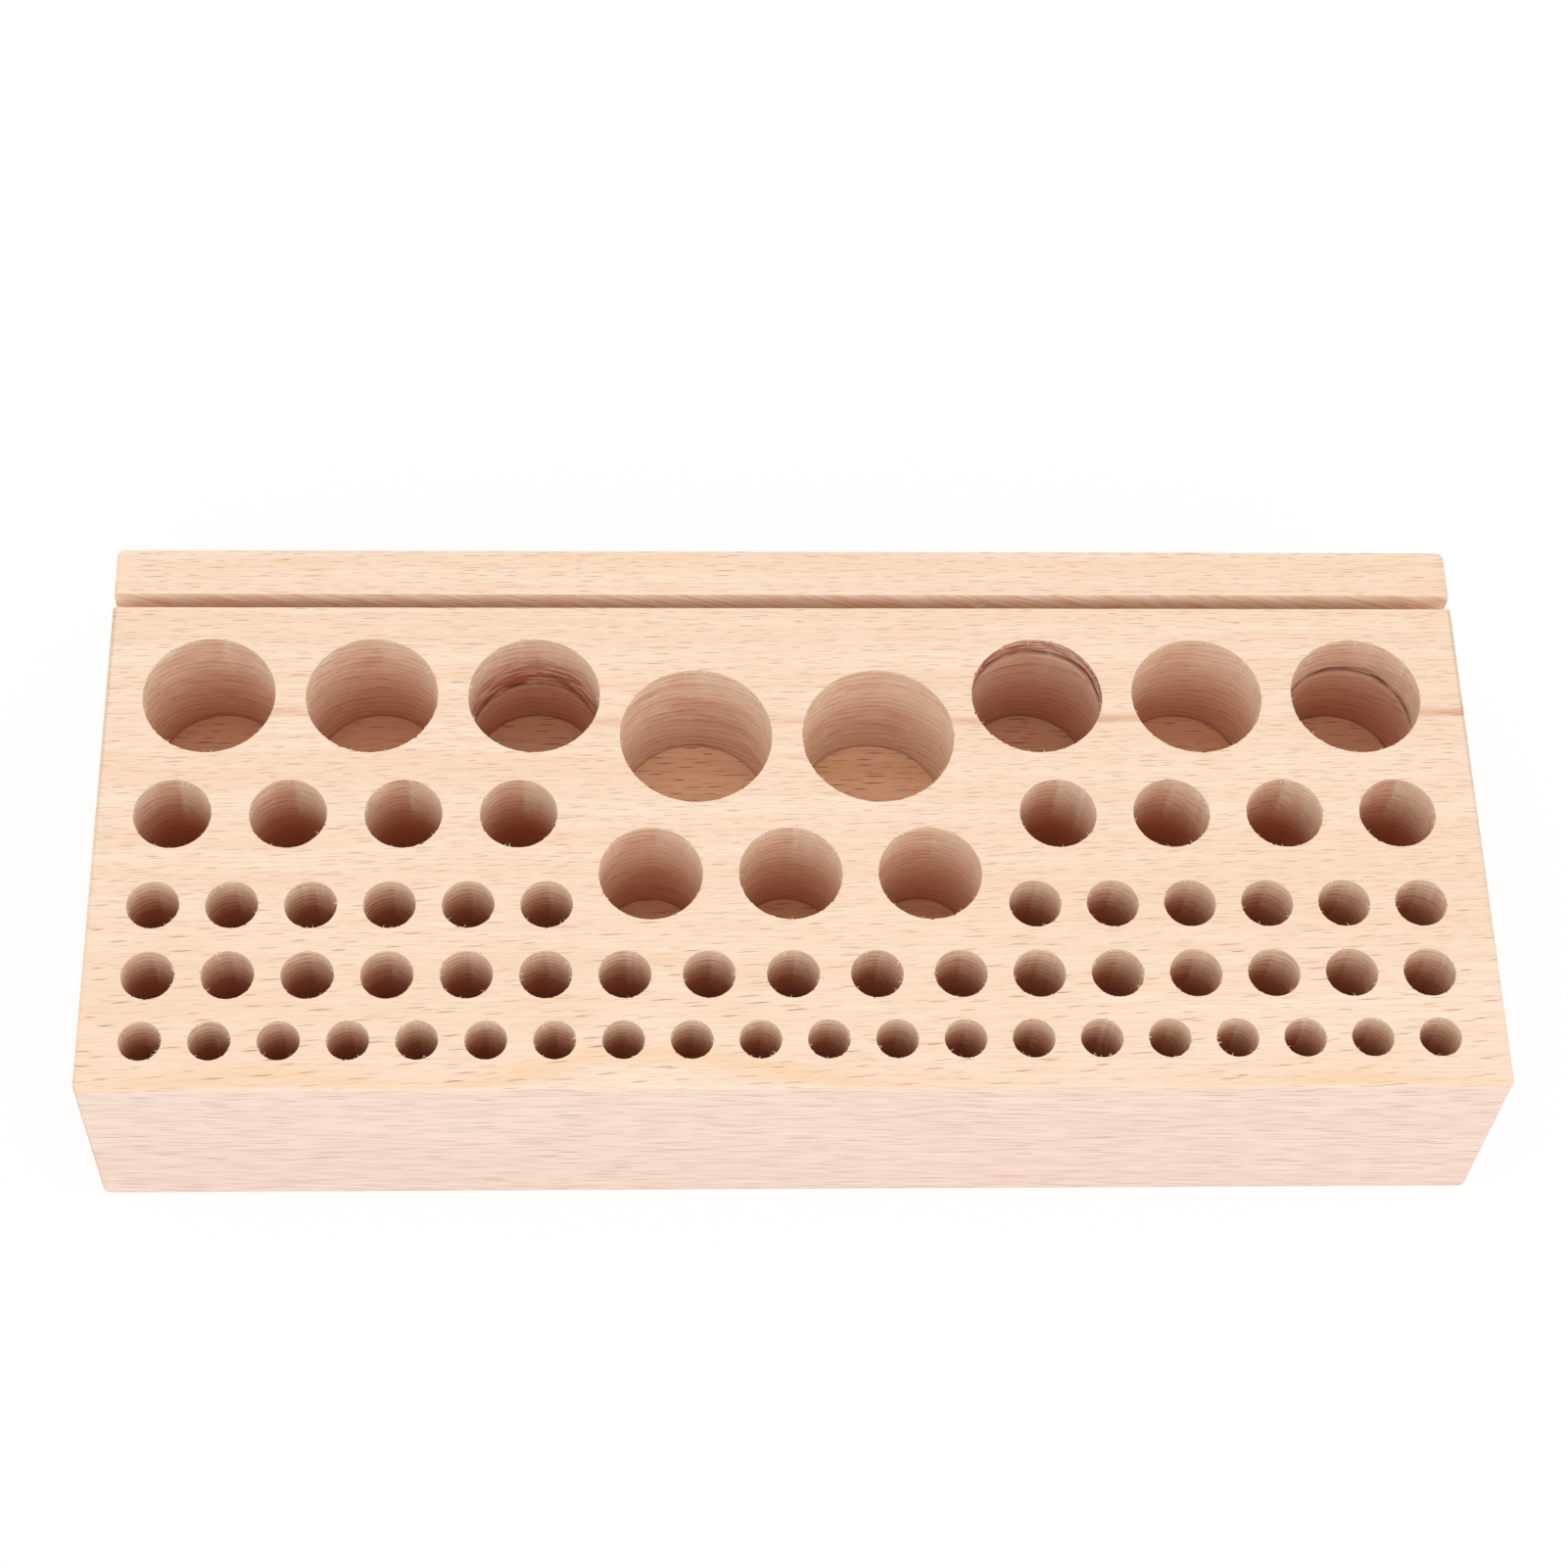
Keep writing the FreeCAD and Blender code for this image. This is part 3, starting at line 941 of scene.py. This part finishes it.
    def _drill(self, bm: BMesh) -> None:
        """Bores the holes into the top in front of the kerf.

        Args:
            bm: The block.
        """
        tops = [face for face in bm.faces if face.calc_center_median().z > self.high.z - TOUCH]
        top = max(tops, key=lambda face: face.calc_area())
        outline = list(top.edges)
        bmesh.ops.delete(bm, geom=[top], context="FACES_ONLY")
        rims = [self._rim(bm, hole) for hole in self.holes]
        borders = outline + [edge for rim in rims for edge in rim]
        filled = bmesh.ops.triangle_fill(bm, use_beauty=True, edges=borders, normal=(0, 0, 1))
        for face in filled["geom"]:
            if isinstance(face, BMFace):
                face.material_index = Cut.FACE
        for hole, rim in zip(self.holes, rims):
            self._bore(bm, hole, rim)

    def _rim(self, bm: BMesh, hole: Hole) -> list[BMEdge]:
        """Draws the slightly torn rim of a hole.

        Args:
            bm: The block.
            hole: The hole.

        Returns:
            The rim's edges.
        """
        verts = bmesh.ops.create_circle(bm, cap_ends=False, segments=hole.segments, radius=hole.radius,
                                        matrix=Matrix.Translation(hole.centre))["verts"]
        nicked = set(self.chance.sample(range(len(verts)), self.nicks_per_hole))
        for index, vert in enumerate(verts):
            ease = self.rim_ease + self.chance.uniform(-1, 1) * self.rim_jitter
            if index in nicked:
                ease += self.chance.uniform(self.nick_least, 1.0) * self.nick_depth
            self._set_radius(vert, hole, hole.radius + ease)
        return list({edge for vert in verts for edge in vert.link_edges})

    @staticmethod
    def _set_radius(vert: BMVert, hole: Hole, radius: float) -> None:
        """Moves a vertex to a distance from a hole's axis.

        Args:
            vert: The vertex.
            hole: The hole.
            radius: The distance.
        """
        out = (vert.co - hole.centre).to_2d().normalized() * radius
        vert.co.x = hole.centre.x + out.x
        vert.co.y = hole.centre.y + out.y

    def _bore(self, bm: BMesh, hole: Hole, rim: list[BMEdge]) -> None:
        """Takes a hole from its rim down to its floor.

        Args:
            bm: The block.
            hole: The hole.
            rim: The edges of its rim.
        """
        loop = rim
        for drop in (self.rim_depth, hole.depth - self.rim_depth):
            geometry = bmesh.ops.extrude_edge_only(bm, edges=loop)["geom"]
            verts = [item for item in geometry if isinstance(item, BMVert)]
            bmesh.ops.translate(bm, verts=verts, vec=(0, 0, -drop))
            for vert in verts:
                self._set_radius(vert, hole, hole.radius)
            for face in (item for item in geometry if isinstance(item, BMFace)):
                self._dress_wall(face, hole)
            fresh = set(verts)
            edges = [item for item in geometry if isinstance(item, BMEdge)]
            loop = [edge for edge in edges if fresh.issuperset(edge.verts)]
        for face in bmesh.ops.edgeloop_fill(bm, edges=loop)["faces"]:
            face.material_index = Cut.FLOOR
            for corner in face.loops:
                corner[self.bore] = (hole.radius / MM, 0.0, 0.0)

    def _dress_wall(self, face: BMFace, hole: Hole) -> None:
        """Gives a face of a hole's wall its slot, and its corners their place round the axis.

        Args:
            face: The face.
            hole: The hole.
        """
        face.material_index = Cut.WALL
        face.smooth = True
        for corner in face.loops:
            out = (corner.vert.co - hole.centre).to_2d().normalized() * (hole.radius / MM)
            corner[self.bore] = (out.x, out.y, hole.scorch_mm)

    def dress(self, block: bpy.types.Object) -> None:
        """Gives the block its finishes and puts it in the place of the CAD sections.

        Args:
            block: The block.
        """
        tree = Tree()
        for finish in FINISHES[:Cut.FIBRE]:
            block.data.materials.append(BeechMaterial(finish, tree, self.bored).build())
        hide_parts(*self.frame["nodes"])
        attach(block, BODY)


@dataclass
class Fibres:
    """Fine fibres that the bit and the saw have left standing, as one mesh."""

    holes: list[Hole]
    per_mm: float = 0.45
    thickness: float = 0.07 * MM
    shortest: float = 0.2 * MM
    longest: float = 0.95 * MM
    lowest: float = 0.45 * MM
    sink: float = 1.5
    lean_spread: float = 0.6
    droop: float = 0.3
    thinnest: float = 0.6
    thickest: float = 1.2
    sides: int = 5
    taper: float = 5.0
    splinter_scale: float = 2.0
    splinter_foot: Vector = field(default_factory=lambda: Vector((38.2, 48.9, 43.2)) * MM)
    splinter_tip: Vector = field(default_factory=lambda: Vector((40.2, 47.2, 47.8)) * MM)
    seed: int = 11

    def build(self) -> bpy.types.Object:
        """Makes the fibres.

        Returns:
            The fibres of all the holes, and one long splinter in the kerf.
        """
        chance = random.Random(self.seed)
        bm = bmesh.new()
        for hole in self.holes:
            for _ in range(round(math.tau * hole.radius / MM * self.per_mm)):
                self._rim_fibre(bm, hole, chance)
        self._sliver(bm, self.splinter_foot, self.splinter_tip, self.splinter_scale * self.thickness)
        mesh = bpy.data.meshes.new("fibres")
        bm.to_mesh(mesh)
        bm.free()
        fibres = bpy.data.objects.new("fibres", mesh)
        bpy.context.scene.collection.objects.link(fibres)
        return fibres

    def _rim_fibre(self, bm: BMesh, hole: Hole, chance: random.Random) -> None:
        """Adds one fibre that leans from a hole's rim into the hole.

        Args:
            bm: The mesh that it goes into.
            hole: The hole.
            chance: Where the random numbers come from.
        """
        bearing = chance.uniform(0, math.tau)
        lean = bearing + math.pi + chance.gauss(0.0, self.lean_spread)
        length = self.shortest + (self.longest - self.shortest) * chance.random() ** 2
        drop = Vector((0, 0, self.sink * self.thickness + self.lowest * chance.random() ** 2))
        foot = hole.centre + Vector((math.cos(bearing), math.sin(bearing), 0)) * hole.radius - drop
        tip = foot + Vector((math.cos(lean), math.sin(lean), -self.droop * chance.random())) * length
        self._sliver(bm, foot, tip, self.thickness * chance.uniform(self.thinnest, self.thickest))

    def _sliver(self, bm: BMesh, foot: Vector, tip: Vector, thickness: float) -> None:
        """Adds a sliver that tapers from a thick foot to its tip.

        Args:
            bm: The mesh that it goes into.
            foot: Where it starts.
            tip: Where it ends.
            thickness: Its radius at the foot.
        """
        along = tip - foot
        turn = along.to_track_quat("Z", "X").to_matrix().to_4x4()
        place = Matrix.Translation((foot + tip) / 2) @ turn
        bmesh.ops.create_cone(bm, cap_ends=True, segments=self.sides, radius1=thickness,
                              radius2=thickness / self.taper, depth=along.length, matrix=place)

    def dress(self, fibres: bpy.types.Object, bored: tuple[float, float]) -> None:
        """Gives the fibres their finish.

        Args:
            fibres: The fibres.
            bored: The levels of the holes' floors and rims, in millimetres.
        """
        fibres.data.materials.append(BeechMaterial(FINISHES[Cut.FIBRE], Tree(), bored).build())
        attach(fibres, BODY)


@dataclass(frozen=True)
class Studio:
    """The white table, the soft light and the camera of the photograph.

    Lengths are in metres, the sensor's in millimetres, and angles in degrees. The table lights the
    block as white paper does. In view it glows, and the little light that it reflects shows the
    block's shadow.
    """

    table_side: float = 8.0
    table_glow: float = 0.885
    paper: float = 0.92
    shadow: float = 0.12
    sky: float = 0.94
    lamp_place: tuple[float, float, float] = (0.25, -1.1, 0.75)
    lamp_size: tuple[float, float] = (1.2, 0.8)
    lamp_watts: float = 2.6
    camera_place: tuple[float, float, float] = (-0.03206, -0.34488, 0.66322)
    camera_yaw: float = 4.850
    camera_pitch: float = 59.326
    camera_roll: float = -4.189
    focal_pixels: float = 3693.5
    centre_row: float = 740.0
    sensor: float = 36.0

    def build(self) -> None:
        """Sets up everything round the block."""
        scene = bpy.context.scene
        scene.view_settings.view_transform = "Standard"
        self._sky(scene)
        self._table()
        self._lamp()
        scene.camera = self._camera()

    def _sky(self, scene: bpy.types.Scene) -> None:
        """White light from all round, and plain white behind the block.

        Args:
            scene: The scene.
        """
        world = bpy.data.worlds.new("studio")
        scene.world = world
        graph = Graph(world)
        light = graph.node("ShaderNodeBackground", None, {"Color": WHITE, "Strength": self.sky})
        plain = graph.node("ShaderNodeBackground", None, {"Color": WHITE, "Strength": 1.0})
        shader = graph.node("ShaderNodeMixShader", None, {0: self._looked_at(graph), 1: light, 2: plain})
        graph.node("ShaderNodeOutputWorld", None, {"Surface": shader})

    def _looked_at(self, graph: Graph) -> Signal:
        """Tells what is in view from what only gives light.

        Args:
            graph: The nodes that it is for.

        Returns:
            1 for what is seen directly, in a reflection or through glass, and 0 for the rest.
        """
        camera = graph.node("ShaderNodeLightPath", output="Is Camera Ray")
        rays = camera.socket.node.outputs
        glossy = Signal(graph, rays["Is Glossy Ray"])
        through = Signal(graph, rays["Is Transmission Ray"])
        return graph.math("MAXIMUM", camera, graph.math("MAXIMUM", glossy, through))

    def _table(self) -> None:
        """A white table that shows only a faint shadow."""
        bm = bmesh.new()
        bmesh.ops.create_grid(bm, x_segments=1, y_segments=1, size=self.table_side / 2)
        mesh = bpy.data.meshes.new("table")
        bm.to_mesh(mesh)
        bm.free()
        table = bpy.data.objects.new("table", mesh)
        bpy.context.scene.collection.objects.link(table)
        material = bpy.data.materials.new("white_table")
        graph = Graph(material)
        paper = graph.node("ShaderNodeBsdfDiffuse", None, {"Color": (self.paper,) * 3 + (1.0,)})
        faint = graph.node("ShaderNodeBsdfDiffuse", None, {"Color": (self.shadow,) * 3 + (1.0,)})
        glow = graph.node("ShaderNodeEmission", None, {"Strength": self.table_glow})
        bright = graph.node("ShaderNodeAddShader", None, {0: faint, 1: glow})
        shader = graph.node("ShaderNodeMixShader", None, {0: self._looked_at(graph), 1: paper, 2: bright})
        graph.node("ShaderNodeOutputMaterial", None, {"Surface": shader})
        mesh.materials.append(material)
        table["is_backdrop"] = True

    def _lamp(self) -> None:
        """Hangs a soft lamp that looks at the block."""
        light = bpy.data.lights.new("softbox", "AREA")
        light.shape = "RECTANGLE"
        light.size, light.size_y = self.lamp_size
        light.energy = self.lamp_watts
        lamp = bpy.data.objects.new("softbox", light)
        lamp.location = self.lamp_place
        lamp.rotation_euler = (-Vector(self.lamp_place)).to_track_quat("-Z", "Y").to_euler()
        bpy.context.scene.collection.objects.link(lamp)

    def _camera(self) -> bpy.types.Object:
        """Puts the camera where the photograph was taken from.

        Returns:
            The camera.
        """
        yaw = math.radians(self.camera_yaw)
        pitch = math.radians(self.camera_pitch)
        roll = math.radians(self.camera_roll)
        level = math.cos(pitch)
        forward = Vector((math.sin(yaw) * level, math.cos(yaw) * level, -math.sin(pitch)))
        right = forward.cross(Vector((0, 0, 1))).normalized()
        down = forward.cross(right)
        turned_right = right * math.cos(roll) + down * math.sin(roll)
        turned_down = down * math.cos(roll) - right * math.sin(roll)
        axes = Matrix((turned_right, -turned_down, -forward)).transposed()
        data = bpy.data.cameras.new("camera")
        data.sensor_width = self.sensor
        data.lens = self.focal_pixels * self.sensor / IMAGE_SIDE
        data.shift_y = self.centre_row / IMAGE_SIDE - 0.5
        camera = bpy.data.objects.new("camera", data)
        camera.matrix_world = Matrix.Translation(self.camera_place) @ axes.to_4x4()
        bpy.context.scene.collection.objects.link(camera)
        return camera


def main() -> None:
    """Builds the block and the studio."""
    logging.basicConfig(level=logging.INFO)
    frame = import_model()
    maker = ToolBlock(frame)
    block = maker.build()
    maker.dress(block)
    log.info("block: %d holes, %d faces", len(maker.holes), len(block.data.polygons))
    tufts = Fibres(maker.holes)
    fibres = tufts.build()
    tufts.dress(fibres, maker.bored)
    log.info("fibres: %d faces", len(fibres.data.polygons))
    Studio().build()
    log.info("studio: table, lamp and camera")


if __name__ == "__main__":
    main()
